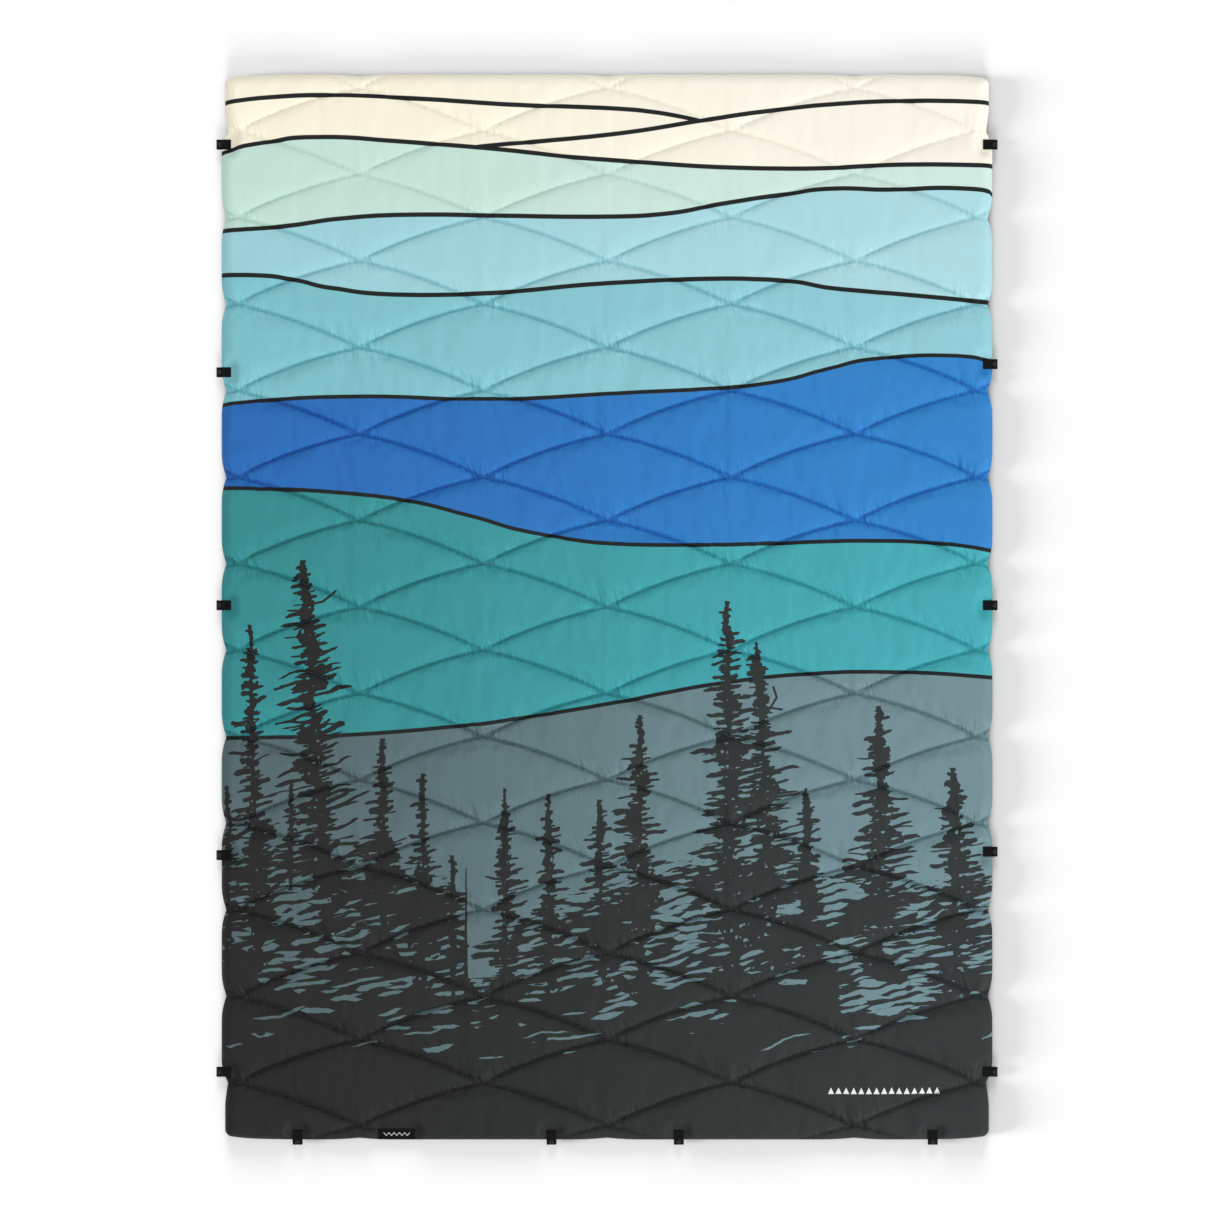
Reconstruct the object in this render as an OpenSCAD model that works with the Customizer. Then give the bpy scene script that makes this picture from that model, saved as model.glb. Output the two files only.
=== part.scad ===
// Puffy camp blanket: two quilted shells round a batt, webbing tabs and snaps.
// +Z is up, the back lies on z = 0, +Y runs to the top hem.
// The origin is under the middle of the whole part, tabs included.

/* [Blanket] */
// Width from one long hem to the other
blanket_w = 1320; // [1200:10:1500]
// Length from the bottom hem to the top hem
blanket_l = 1824; // [1700:4:2000]
// Corner radius of the outline
corner_r = 16; // [12:1:40]
// Height of the puffed body above the floor
loft = 24; // [22:1:30]
// Height of the hem's seam above the floor
hem_z = 8; // [7:0.5:9]
// Width of the flat hem
hem_w = 20; // [20:1:30]
// Run of the rounded shoulder from the hem to full height
shoulder = 55; // [30:1:80]
// Thickness drawn for each shell cloth
cloth_t = 0.8; // [0.6:0.1:1]

/* [Quilting] */
// Distance between neighbouring columns of crossings
quilt_pitch = 212; // [180:1:240]
// Drop of a stitch line from one crossing to the next
quilt_drop = 74; // [60:1:90]
// Share of the drop that is straight, the rest being curved
quilt_straight = 0.59; // [0.3:0.01:0.9]
// Width drawn for a line of thread
thread_w = 2; // [1:0.1:3]
// Height drawn for a line of thread
thread_t = 0.5; // [0.3:0.1:0.6]

/* [Tabs] */
// Width of the webbing
tab_w = 17; // [12:1:20]
// Length of a tab across the hem
tab_l = 25; // [20:1:26]
// Reach of a tab beyond the hem
tab_out = 9; // [9:0.5:12]
// Thickness of a tab, both layers and the hem together
tab_t = 4; // [3.6:0.1:5]
// Distance from the middle to a bottom tab near the corner
tab_far = 544; // [500:1:600]
// Distance from the middle to an inner bottom tab
tab_near = 109; // [80:1:160]
// Sideways shift of the bottom tabs
tab_shift = 14; // [0:1:20]

/* [Snaps] */
// Diameter of a snap's cap
snap_d = 8.4; // [7:0.1:8.6]
// Diameter of the post through the webbing
post_d = 2.6; // [2:0.1:3]
// Diameter of the stud
stud_d = 4.4; // [4:0.1:5]
// Height of the stud above its base
stud_h = 2; // [1.5:0.1:2.5]
// Clearance round the stud in the socket, and round the post
snap_gap = 0.05; // [0.02:0.01:0.1]

/* [Label] */
// Width of the woven label
label_w = 63; // [40:1:80]
// Height of the woven label
label_h = 18; // [12:1:19]
// Place of the label's middle along the bottom hem
label_x = -360; // [-420:1:-300]

/* [Hidden] */
$fn = 48;
hull_fn = 32;
eps = 0.01;
fold_gap = 0.3;             // each half stops this far from the fold line
batt_gap = 0.2;             // between the batt and the shells
seam_in = 1;                // seam thread, in from the outline
seam_w = 1;
seam_t = 0.5;
seam_play = 0.1;
base_t = 0.8;               // plate of a snap's stud or socket
cap_t = 1.2;
socket_h = 1.8;
bar_t = 0.3;                // tacking bars and label stitching
bar_w = 1;
label_t = 0.8;
left_tab_y = [792, 402, 3, -425, -796];
right_tab_y = [792, 416, 3, -419, -796];

hem_top = hem_z + cloth_t;
tab_top = hem_z + tab_t / 2;
tab_low = hem_z - tab_t / 2;
tab_in = tab_l - tab_out;
frame_y = tab_out / 2;      // centres the part, tabs included, on the origin
crown_in = hem_w + shoulder;

// Heading of a tab's outer end and its place on the hem, per tab
left_tabs = [for (y = left_tab_y) [[-blanket_w / 2, y], 180]];
right_tabs = [for (y = right_tab_y) [[blanket_w / 2, y], 0]];
bottom_x = [-tab_far, -tab_near, tab_near, tab_far];
bottom_tabs = [for (x = bottom_x) [[x + tab_shift, -blanket_l / 2], -90]];
left_half_tabs = concat(left_tabs, [bottom_tabs[0], bottom_tabs[1]]);
right_half_tabs = concat(right_tabs, [bottom_tabs[2], bottom_tabs[3]]);

face_color = [0.23, 0.51, 0.72];
back_color = [0.20, 0.22, 0.23];
batt_color = [0.93, 0.93, 0.90];
thread_color = [0.30, 0.42, 0.46];
web_color = [0.05, 0.05, 0.06];
resin_color = [0.10, 0.10, 0.11];
tack_color = [0.16, 0.16, 0.17];

// ---- outline and the two halves ----

module outline(inset) {
    w = blanket_w - 2 * inset;
    l = blanket_l - 2 * inset;
    r = max(corner_r - inset, 4);
    square([w - 2 * r, l], center = true);
    square([w, l - 2 * r], center = true);
    for (sx = [-1, 1], sy = [-1, 1])
        translate([sx * (w / 2 - r), sy * (l / 2 - r)])
            circle(r);
}

module plate(inset, z, t) {
    translate([0, 0, z]) linear_extrude(t) outline(inset);
}

// side is -1 for the left half and 1 for the right half
module half(side) {
    reach = blanket_w;
    translate([0, frame_y, 0])
        intersection() {
            children();
            translate([side * (fold_gap + reach / 2), 0, 0])
                cube([reach, 2 * blanket_l, 4 * loft], center = true);
        }
}

// ---- puffed body ----

// Convex crown that rises (up = 1) or falls (up = -1) from the seam's plane
module crown(height, up, skin) {
    hull()
        for (a = [0 : 15 : 90])
            translate([0, 0, up > 0 ? 0 : -eps])
                plate(hem_w + skin + shoulder * (1 - cos(a)), hem_z + up * height * sin(a), eps,
                      $fn = hull_fn);
}

module crown_up(skin) {
    crown(loft - hem_z - skin - eps, 1, skin);
}

module crown_down(skin) {
    crown(hem_z - skin - eps, -1, skin);
}

module seam_channel() {
    translate([0, 0, hem_z - seam_t / 2 - seam_play])
        linear_extrude(seam_t + 2 * seam_play)
            difference() {
                outline(seam_in - seam_play);
                outline(seam_in + seam_w + seam_play);
            }
}

module face_shell(side) {
    color(face_color)
        half(side)
            difference() {
                union() {
                    plate(0, hem_z, cloth_t);
                    crown_up(0);
                }
                translate([0, 0, -eps]) crown_up(cloth_t);
                seam_channel();
            }
}

module back_shell(side) {
    color(back_color)
        half(side)
            difference() {
                union() {
                    plate(0, hem_z - cloth_t, cloth_t);
                    crown_down(0);
                }
                translate([0, 0, eps]) crown_down(cloth_t);
                seam_channel();
            }
}

module batting(side) {
    color(batt_color)
        half(side)
            union() {
                crown_up(cloth_t + batt_gap);
                crown_down(cloth_t + batt_gap);
            }
}

// ---- thread ----

function drop_at(t) = quilt_drop * (quilt_straight * t + (1 - quilt_straight) * t * t);

// One stitch line from a crossing down to the next column; way is -1 or 1
module stitch_arc(column, y_top, way) {
    steps = 5;
    x0 = column * quilt_pitch;
    top = [for (i = [0 : steps]) [x0 + way * quilt_pitch * i / steps, y_top - drop_at(i / steps)]];
    low = [for (i = [steps : -1 : 0]) top[i] - [0, thread_w]];
    polygon(concat(top, low));
}

module quilting_thread(side) {
    columns = ceil(blanket_w / 2 / quilt_pitch);
    rows = ceil(blanket_l / 2 / quilt_drop) + 1;
    color(thread_color)
        half(side)
            intersection() {
                translate([0, 0, loft])
                    linear_extrude(thread_t)
                        for (c = [-columns : columns], r = [-rows : rows])
                            if ((c + r) % 2 == 0)
                                for (way = [-1, 1])
                                    stitch_arc(c, r * quilt_drop, way);
                cube([blanket_w - 2 * crown_in, blanket_l - 2 * crown_in, 4 * loft], center = true);
            }
}

module seam_thread(side) {
    color(thread_color)
        half(side)
            translate([0, 0, hem_z - seam_t / 2])
                linear_extrude(seam_t)
                    difference() {
                        outline(seam_in);
                        outline(seam_in + seam_w);
                    }
}

// ---- tabs and snaps, each drawn at the hem with +X pointing outwards ----

module at_tab(tab) {
    translate([tab[0][0], tab[0][1] + frame_y, 0]) rotate(tab[1]) children();
}

snap_x = tab_out - snap_d / 2 - 0.4;

module tab(place) {
    round_r = 2.5;
    color(web_color)
        at_tab(place)
            difference() {
                translate([0, 0, tab_low])
                    linear_extrude(tab_t)
                        union() {
                            translate([-tab_in, -tab_w / 2]) square([tab_l - round_r, tab_w]);
                            translate([-tab_in, round_r - tab_w / 2]) square([tab_l, tab_w - 2 * round_r]);
                            for (s = [-1, 1])
                                translate([tab_out - round_r, s * (tab_w / 2 - round_r)]) circle(round_r);
                        }
                translate([-tab_in - 1, -tab_w / 2 - 1, hem_z - cloth_t])
                    cube([tab_in + 1, tab_w + 2, 2 * cloth_t]);
                translate([snap_x, 0, tab_low - 1])
                    cylinder(d = post_d + 2 * snap_gap, h = tab_t + 2);
            }
}

module snap_cap() {
    translate([snap_x, 0, tab_low - cap_t]) cylinder(d = snap_d, h = cap_t);
    translate([snap_x, 0, tab_low - eps]) cylinder(d = post_d, h = tab_t + base_t + eps);
}

module snap_base() {
    difference() {
        cylinder(d = snap_d, h = base_t);
        translate([0, 0, -1]) cylinder(d = post_d + 2 * snap_gap, h = base_t + 2);
    }
}

module snap_socket() {
    wall = 1;
    bore_d = stud_d + 2 * snap_gap;
    translate([snap_x, 0, tab_top]) {
        snap_base();
        translate([0, 0, base_t - eps])
            difference() {
                cylinder(d = bore_d + 2 * wall, h = socket_h + eps);
                translate([0, 0, -1]) cylinder(d = bore_d, h = socket_h + 2);
            }
    }
}

module snap_stud() {
    translate([snap_x, 0, tab_top]) {
        snap_base();
        translate([0, 0, base_t]) cylinder(d = stud_d, h = stud_h);
    }
}

module snap_caps(tabs) {
    color(resin_color)
        for (t = tabs) at_tab(t) snap_cap();
}

module snap_sockets() {
    color(resin_color)
        for (t = left_half_tabs) at_tab(t) snap_socket();
}

module snap_studs() {
    color(resin_color)
        for (t = right_half_tabs) at_tab(t) snap_stud();
}

// Two bars of close stitches hold the inner end of each tab to the hem
module tab_tacks(tabs) {
    bar_l = tab_w - 3;
    color(tack_color)
        for (t = tabs)
            at_tab(t)
                for (x = [1.5 - tab_in, -2.5])
                    translate([x, -bar_l / 2, tab_top]) cube([bar_w, bar_l, bar_t]);
}

// ---- label ----

module at_label() {
    translate([label_x, frame_y - blanket_l / 2 + label_h / 2 + 0.5, hem_top]) children();
}

module woven_label() {
    color(web_color)
        at_label()
            translate([-label_w / 2, -label_h / 2, 0]) cube([label_w, label_h, label_t]);
}

module label_stitching() {
    edge = 1.5;
    color(tack_color)
        at_label()
            translate([0, 0, label_t])
                linear_extrude(bar_t)
                    difference() {
                        square([label_w - 2 * edge, label_h - 2 * edge], center = true);
                        square([label_w - 2 * edge - 2, label_h - 2 * edge - 2], center = true);
                    }
}

// ---- nodes ----

face_shell(-1);  // face_shell_left
face_shell(1);  // face_shell_right
back_shell(-1);  // back_shell_left
back_shell(1);  // back_shell_right
batting(-1);  // batting_left
batting(1);  // batting_right
quilting_thread(-1);  // quilting_thread_left
quilting_thread(1);  // quilting_thread_right
seam_thread(-1);  // seam_thread_left
seam_thread(1);  // seam_thread_right
tab(left_tabs[0]);  // tab_left_1
tab(left_tabs[1]);  // tab_left_2
tab(left_tabs[2]);  // tab_left_3
tab(left_tabs[3]);  // tab_left_4
tab(left_tabs[4]);  // tab_left_5
tab(right_tabs[0]);  // tab_right_1
tab(right_tabs[1]);  // tab_right_2
tab(right_tabs[2]);  // tab_right_3
tab(right_tabs[3]);  // tab_right_4
tab(right_tabs[4]);  // tab_right_5
tab(bottom_tabs[0]);  // tab_bottom_1
tab(bottom_tabs[1]);  // tab_bottom_2
tab(bottom_tabs[2]);  // tab_bottom_3
tab(bottom_tabs[3]);  // tab_bottom_4
snap_caps(left_half_tabs);  // snap_caps_left
snap_caps(right_half_tabs);  // snap_caps_right
snap_sockets();
snap_studs();
tab_tacks(left_half_tabs);  // tab_tacks_left
tab_tacks(right_half_tabs);  // tab_tacks_right
woven_label();
label_stitching();
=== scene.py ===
import math

import bpy
import numpy as np
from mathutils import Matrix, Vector


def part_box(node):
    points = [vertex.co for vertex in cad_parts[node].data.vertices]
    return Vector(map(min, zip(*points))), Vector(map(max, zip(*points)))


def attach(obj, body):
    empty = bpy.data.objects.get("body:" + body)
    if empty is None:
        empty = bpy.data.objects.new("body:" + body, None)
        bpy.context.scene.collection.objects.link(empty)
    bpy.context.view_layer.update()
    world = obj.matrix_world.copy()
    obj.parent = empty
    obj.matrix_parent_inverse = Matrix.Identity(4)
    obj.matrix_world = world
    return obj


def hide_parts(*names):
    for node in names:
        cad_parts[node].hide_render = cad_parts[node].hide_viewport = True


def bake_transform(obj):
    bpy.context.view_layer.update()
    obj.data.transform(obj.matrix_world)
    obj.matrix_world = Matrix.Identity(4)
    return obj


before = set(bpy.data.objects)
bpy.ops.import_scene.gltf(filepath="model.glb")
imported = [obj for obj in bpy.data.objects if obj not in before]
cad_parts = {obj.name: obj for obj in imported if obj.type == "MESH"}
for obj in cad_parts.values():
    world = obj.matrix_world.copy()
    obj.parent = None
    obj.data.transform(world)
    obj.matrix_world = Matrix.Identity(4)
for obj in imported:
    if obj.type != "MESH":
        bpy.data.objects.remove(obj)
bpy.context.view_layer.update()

MM = 0.001
PER_M = 1000.0              # millimetres in a metre
SHEEN_ROUGH = 0.4

# ---- the frame: outline, heights and bodies come from the CAD nodes ----

LOW = Vector(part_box("face_shell_left")[0])
HIGH = Vector(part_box("face_shell_right")[1])
HALF_W = (HIGH.x - LOW.x) / 2
HALF_L = (HIGH.y - LOW.y) / 2
MID_Y = (HIGH.y + LOW.y) / 2
HEM_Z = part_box("back_shell_left")[1][2]
LOFT = HIGH.z
LEFT, RIGHT = "left_half", "right_half"

# ---- the quilting, as in the CAD source ----

PITCH = 0.212               # between columns of crossings
DROP = 0.074                # a stitch line falls this far from one column to the next
STRAIGHT = 0.59
STEPS_X = 46                # mesh columns between two columns of crossings
STEPS_Y = 14                # mesh rows in one drop
CROWD = 0.55                # how strongly the rows are drawn together at the stitch lines
CORNER = 0.010
STITCH_MARGIN = 0.006       # the quilting thread ends this far inside the hem
COARSE = (22, 10)           # STEPS_X and STEPS_Y of the cloth step's own grid
CLOTH_FRAMES = 12           # frames of the cloth step
CLOTH_CAP = 0.0026          # and the most that it may move a point

SEAM_Z = 0.0125             # the face at a stitch line
CROWN_Z = LOFT - 0.0006     # and in the middle of a full cell
FLAT = 0.0006               # puff left under a tab
GROUND_GAP = 0.0002
BACK_SEAM_Z = 0.0074        # the back at a stitch line
RIM = 0.022                 # the puff rounds over to the hem in this distance
PINCH = 0.0085              # a stitch line pulls the long edges in this far
PINCH_REACH = 0.042


def smooth(t):
    t = np.clip(t, 0.0, 1.0)
    return t * t * (3 - 2 * t)


def drop_at(t):
    """Height lost along a stitch line, in drops, at fraction t of the way to the next column."""
    return STRAIGHT * t + (1 - STRAIGHT) * t * t


def scatter(seed):
    """A number from 0 to 1 for each seed that looks random and is the same on each run."""
    h = np.sin(seed) * 43758.5453
    return h - np.floor(h)


def value_noise(x, y, seed):
    """Smooth noise from -1 to 1 on a unit lattice, the same on each run."""
    xi, yi = np.floor(x).astype(int), np.floor(y).astype(int)
    fx, fy = smooth(x - xi), smooth(y - yi)

    def corner(i, j):
        return scatter(i * 127.1 + j * 311.7 + seed * 74.7) * 2 - 1

    low = corner(xi, yi) * (1 - fx) + corner(xi + 1, yi) * fx
    high = corner(xi, yi + 1) * (1 - fx) + corner(xi + 1, yi + 1) * fx
    return low * (1 - fy) + high * fy


def seams_at(x):
    """All stitch lines crossing the line at x, from the bottom up, as heights from the middle."""
    column = math.floor(x / PITCH + 1e-9)
    t = x / PITCH - column
    count = math.ceil(HALF_L / DROP) + 2
    falls = [r - drop_at(t) for r in range(-count, count + 1) if (r + column) % 2 == 0]
    rises = [r - drop_at(1 - t) for r in range(-count, count + 1) if (r + column + 1) % 2 == 0]
    return np.sort(np.array(falls + rises)) * DROP


def cell_place(x, y):
    """Where (x, y) is between the stitch lines below and above it: fraction, gap and cell number."""
    fraction, gap, number = np.zeros(x.shape), np.zeros(x.shape), np.zeros(x.shape)
    for k in range(x.shape[0]):
        s = seams_at(x[k, 0])
        i = np.clip(np.searchsorted(s, y[k] + 1e-9) - 1, 0, len(s) - 2)
        gap[k] = s[i + 1] - s[i]
        fraction[k] = (y[k] - s[i]) / np.maximum(gap[k], 1e-6)
        middle = np.round((s[i] + s[i + 1]) / 2 / DROP)
        number[k] = middle * 17 + np.round(x[k, 0] / PITCH)
    return np.clip(fraction, 0, 1), gap, number


# ---- presses: where tabs and the label hold the hem flat ----

LEFT_TABS = [f"tab_left_{i}" for i in range(1, 6)] + ["tab_bottom_1", "tab_bottom_2"]
RIGHT_TABS = [f"tab_right_{i}" for i in range(1, 6)] + ["tab_bottom_3", "tab_bottom_4"]


def pressed(x, y):
    """1 where the puff is free, 0 under a tab or the label."""
    free = np.ones(x.shape)
    for node in LEFT_TABS + RIGHT_TABS + ["woven_label"]:
        low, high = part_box(node)
        dx = np.maximum(np.maximum(low[0] - x, x - high[0]), 0)
        dy = np.maximum(np.maximum(low[1] - MID_Y - y, y - high[1] + MID_Y), 0)
        free *= smooth((np.hypot(dx, dy) - 0.001) / 0.016)
    return free


ONE_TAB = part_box("tab_left_1")
TAB_OUT = LOW.x - ONE_TAB[0].x      # a tab reaches this far beyond the hem
TAB_IN = ONE_TAB[1].x - LOW.x
TAB_W = ONE_TAB[1].y - ONE_TAB[0].y
TAB_TOP = ONE_TAB[1].z
TAB_LOW = ONE_TAB[0].z
WEB = 0.0012                # one layer of webbing
BAR_INSET = 0.0020          # from a bar tack to the hem or to the tab's inner end
ZIGZAG = 0.0009             # step and half width of a bar tack's zigzag
ZIGZAGS = 16
THREAD_INSET = 0.0015       # from a seam to the edge that it follows

# ---- the quilted surface ----

def puff(x, y):
    """Fullness from 0 at a stitch line to about 1 in the middle of a cell, and distance to a line."""
    p, gap, number = cell_place(x, y)
    across = np.maximum(1 - np.abs(2 * p - 1) ** 3.2, 0) ** 0.62
    size = np.clip(gap / (2 * DROP), 0, 1)
    fullness = across * np.tanh(2.6 * size) ** 0.8
    fullness *= 0.93 + 0.10 * scatter(number * 12.9898)
    near = np.minimum(p, 1 - p) * gap * 0.93
    return fullness, near, number


def calm(y):
    """Less than 1 in the upper third, where the cloth lies smoother."""
    return 1 - 0.65 * smooth((y - 0.28) / 0.34)


def seam_level(y):
    """Height of the face at a stitch line; the quilting is shallower towards the top hem."""
    return SEAM_Z + 0.4 * (CROWN_Z - SEAM_Z) * smooth((y - 0.42) / 0.32)


def wrinkle(x, y, near, number, scale):
    """Small gathers that run up and down from the stitch lines, most of them near a crossing."""
    close = np.exp(-near / 0.020) * smooth(near / 0.003 + 0.15)
    aside = np.abs((x / PITCH + 0.5) % 1 - 0.5) * PITCH
    crossing = 0.22 + 0.78 * np.exp(-(aside / 0.055) ** 2)
    lean = x + 0.25 * y
    wide = value_noise(lean / 0.0125 + number * 3.1, y / 0.06, 3)
    fine = value_noise(lean / 0.0070 + number * 5.7, y / 0.04, 8)
    patchy = 0.4 + 0.6 * smooth(value_noise(x / 0.045, y / 0.04, 5) + 0.5)
    ridge = 0.8 - 2.2 * np.abs(wide)
    return scale * close * crossing * patchy * calm(y) * (ridge + 0.5 * fine)


def pinch_in(y):
    """How far the long edges are pulled in at y; stitch lines meet them every two drops."""
    away = np.abs((y / DROP) % 2 - 1) * DROP
    return PINCH * np.clip(1 - away / PINCH_REACH, 0, 1) ** 2


def to_hem(x, y):
    """Distance to the hem on the flat cloth."""
    return np.minimum(HALF_W - np.abs(x), HALF_L - np.abs(y))


def rim_round(edge):
    """The puff's share of its full height, which falls off in a quarter round near the hem."""
    return np.sqrt(np.clip(1 - (1 - np.clip(edge / RIM, 0, 1)) ** 2, 0, 1))


def outline(x, y):
    """Moves a point of the flat rectangle to its place in the scalloped outline."""
    ex, ey = HALF_W - np.abs(x), HALF_L - np.abs(y)
    a, b = np.clip(1 - ex / CORNER, 0, 1), np.clip(1 - ey / CORNER, 0, 1)
    both = (a > 0) & (b > 0)
    cx = np.where(both, a * np.sqrt(1 - b * b / 2), a) - a
    cy = np.where(both, b * np.sqrt(1 - a * a / 2), b) - b
    side_pull = pinch_in(y) * smooth(1 - ex / 0.07)
    end_gap = np.abs((x / PITCH + 1) % 2 - 1) * PITCH
    end_pull = 0.003 * np.clip(1 - end_gap / 0.06, 0, 1) ** 2 * smooth(1 - ey / 0.05)
    narrow = 0.006 * smooth((np.abs(y) - 0.79) / 0.05) * smooth(1 - ex / 0.07)
    bow = 0.007 * (np.abs(x) / HALF_W) ** 18 * smooth(1 - ey / 0.05)
    nx = x + np.sign(x) * (cx * CORNER - side_pull - narrow)
    ny = y + np.sign(y) * (cy * CORNER - end_pull - bow)
    return nx, ny


def flat_lines(step_x, step_y):
    """Columns and rows of the cloth's grid, with the last ones evenly spaced out to the hem."""
    lines = []
    for half, pitch, count, step in ((HALF_W, PITCH, 3, step_x), (HALF_L, DROP, 12, step_y)):
        margin = np.linspace(0, half - count * pitch, 7)[1:]
        inner = np.linspace(-count * pitch, count * pitch, 2 * count * step + 1)
        lines.append(np.concatenate([-count * pitch - margin[::-1], inner, count * pitch + margin]))
    return lines


def rest_grid(step_x, step_y):
    """Rows and columns of the flat cloth, drawn together at the stitch lines and on them exactly."""
    xs, ys = flat_lines(step_x, step_y)
    x, y = np.meshgrid(xs, ys, indexing="ij")
    on_seam = np.zeros(x.shape, bool)
    for k, at in enumerate(xs):
        s = seams_at(at)
        i = np.clip(np.searchsorted(s, ys) - 1, 0, len(s) - 2)
        gap = np.maximum(s[i + 1] - s[i], 1e-6)
        p = (ys - s[i]) / gap
        inside = np.clip((HALF_L - np.abs(ys)) / 0.04, 0, 1)
        y[k] = ys - inside * CROWD * gap * np.sin(2 * np.pi * p) / (2 * np.pi)
        for line in s:
            if abs(line) < HALF_L - 0.002:
                j = int(np.argmin(np.abs(y[k] - line)))
                if 0 < j < len(ys) - 1:
                    y[k, j] = line
                    on_seam[k, j] = True
        y[k, 0], y[k, -1] = -HALF_L, HALF_L
    return x, y, on_seam


def grid_faces(on_seam, flip):
    """Two triangles a cell, cut along the stitch line where it runs from corner to corner."""
    nx, ny = on_seam.shape
    ids = np.arange(nx * ny).reshape(nx, ny)
    a, b = ids[:-1, :-1].ravel(), ids[1:, :-1].ravel()
    c, d = ids[1:, 1:].ravel(), ids[:-1, 1:].ravel()
    flag = on_seam.ravel()
    rising = flag[a] & flag[c]
    falling = flag[b] & flag[d]
    i, j = np.meshgrid(np.arange(nx - 1), np.arange(ny - 1), indexing="ij")
    use_ac = np.where(rising, True, np.where(falling, False, ((i + j) % 2 == 0).ravel()))
    first = np.where(use_ac[:, None], np.stack([a, b, c], 1), np.stack([a, b, d], 1))
    second = np.where(use_ac[:, None], np.stack([a, c, d], 1), np.stack([b, c, d], 1))
    tris = np.concatenate([first, second])
    return tris[:, ::-1] if flip else tris


def face_height(x, y, gathers=1.0):
    full, near, number = puff(x, y)
    edge = to_hem(x, y)
    rim = rim_round(edge)
    swell = 0.0007 * value_noise(x / 0.11, y / 0.09, 1) + 0.0004 * value_noise(x / 0.045, y / 0.05, 2)
    free = pressed(x, y)
    seam = seam_level(y)
    body = (seam - HEM_Z) + (CROWN_Z - seam) * full * (0.86 + 0.14 * rim) + swell * full
    body += gathers * wrinkle(x, y, near, number, 0.0021) * smooth(edge / 0.03)
    return HEM_Z + rim * (FLAT + (body - FLAT) * free), near


def back_height(x, y, gathers=1.0):
    full, near, number = puff(x, y)
    edge = to_hem(x, y)
    rim = rim_round(edge)
    free = pressed(x, y)
    body = (HEM_Z - BACK_SEAM_Z) + (BACK_SEAM_Z + 0.0012) * full
    body += gathers * wrinkle(x, y, near, number + 40, 0.0007) * smooth(edge / 0.03)
    z = HEM_Z - rim * (FLAT + (body - FLAT) * free)
    return np.maximum(z, GROUND_GAP), near


def mesh_object(name, co, faces, uv=None, **attributes):
    """A mesh object from arrays, with the flat cloth's own coordinates kept as a UV map."""
    mesh = bpy.data.meshes.new(name)
    mesh.vertices.add(len(co))
    mesh.vertices.foreach_set("co", np.asarray(co, np.float32).ravel())
    sides = faces.shape[1]
    mesh.loops.add(faces.size)
    mesh.loops.foreach_set("vertex_index", faces.astype(np.int32).ravel())
    mesh.polygons.add(len(faces))
    mesh.polygons.foreach_set("loop_start", np.arange(0, faces.size, sides, dtype=np.int32))
    mesh.update(calc_edges=True)
    mesh.validate()
    if uv is not None:
        layer = mesh.uv_layers.new(name="print")
        layer.data.foreach_set("uv", np.asarray(uv, np.float32)[faces.ravel()].ravel())
    for key, values in attributes.items():
        data = mesh.attributes.new(key, "FLOAT", "POINT")
        data.data.foreach_set("value", np.asarray(values, np.float32).ravel())
    mesh.polygons.foreach_set("use_smooth", np.ones(len(faces), bool))
    obj = bpy.data.objects.new(name, mesh)
    bpy.context.scene.collection.objects.link(obj)
    return obj


# ---- shader graphs ----

def arithmetic(operation, swapped=False):
    """A method that does one operation; its sides are swapped where the number stands on the left."""
    def method(self, other):
        sides = (other, self) if swapped else (self, other)
        return self.graph.math(operation, *sides)
    return method


class Value:
    """The output of a shader node. Arithmetic on it adds nodes to its graph."""

    __add__, __radd__ = arithmetic("ADD"), arithmetic("ADD", True)
    __sub__, __rsub__ = arithmetic("SUBTRACT"), arithmetic("SUBTRACT", True)
    __mul__, __rmul__ = arithmetic("MULTIPLY"), arithmetic("MULTIPLY", True)
    __truediv__, __rtruediv__ = arithmetic("DIVIDE"), arithmetic("DIVIDE", True)

    def __init__(self, graph, socket):
        self.graph = graph
        self.socket = socket


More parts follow.
